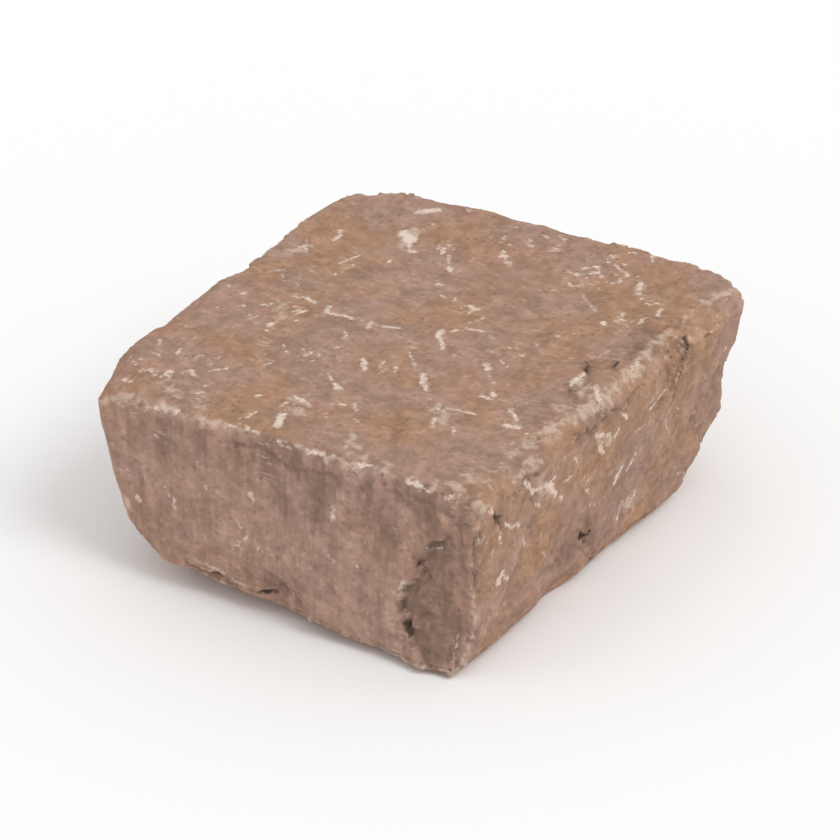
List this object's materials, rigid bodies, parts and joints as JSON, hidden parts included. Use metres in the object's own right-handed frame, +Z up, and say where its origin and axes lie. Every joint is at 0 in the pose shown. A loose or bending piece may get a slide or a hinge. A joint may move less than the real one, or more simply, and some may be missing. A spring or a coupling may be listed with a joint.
{
  "type": "sandstone sett",
  "caption": "Hand-split sandstone paving sett: riven head, flat bed, hewn sides that lean in to the bed, broken lower edge and corners, and tumbled arrises with flake scars.",
  "frame": {"origin": "under the middle of the sett's plan, on its flat bed", "axes": "+Z up through the riven head, the short way; +Y along the longer plan side, away from the front face; +X to the right of the front face"},
  "size_m": [0.1367, 0.1566, 0.0608],
  "materials": {
    "sandstone": "riven and tumbled red-brown sandstone, matt, with pale scuffs and bruised arrises"
  },
  "bodies": {
    "root": {"sett": "sandstone"}
  },
  "joints": []
}
